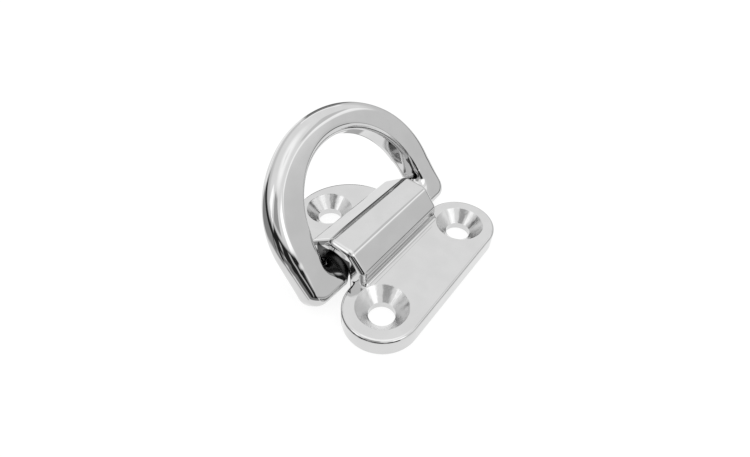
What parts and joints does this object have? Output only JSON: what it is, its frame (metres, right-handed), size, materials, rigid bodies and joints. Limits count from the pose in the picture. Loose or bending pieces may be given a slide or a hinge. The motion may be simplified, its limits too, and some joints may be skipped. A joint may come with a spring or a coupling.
{
  "type": "folding pad eye",
  "caption": "Folding pad eye: a D-ring hinged under a saddle on a polished stainless base plate with countersunk screw holes, for lashing and light lifting.",
  "frame": {"origin": "on the mounting underside, midway between the two wing screw holes", "axes": "+X along the ring's pivot axis, +Y from the two-hole wing towards the one-hole ear, +Z away from the mounting surface"},
  "size_m": [0.057, 0.0503, 0.0346],
  "materials": {
    "base_stainless": "mirror-polished stainless steel casting, countersinks left as turned",
    "ring_stainless": "mirror-polished stainless steel"
  },
  "bodies": {
    "base": {"base": "base_stainless"},
    "ring": {"d_ring": "ring_stainless"}
  },
  "joints": [
    {"name": "ring_fold", "type": "hinge", "parent": "base", "child": "ring", "pos_m": [0, 0.016, 0.0053], "axis": [1, 0, 0], "range_deg": [-54, 92]}
  ]
}
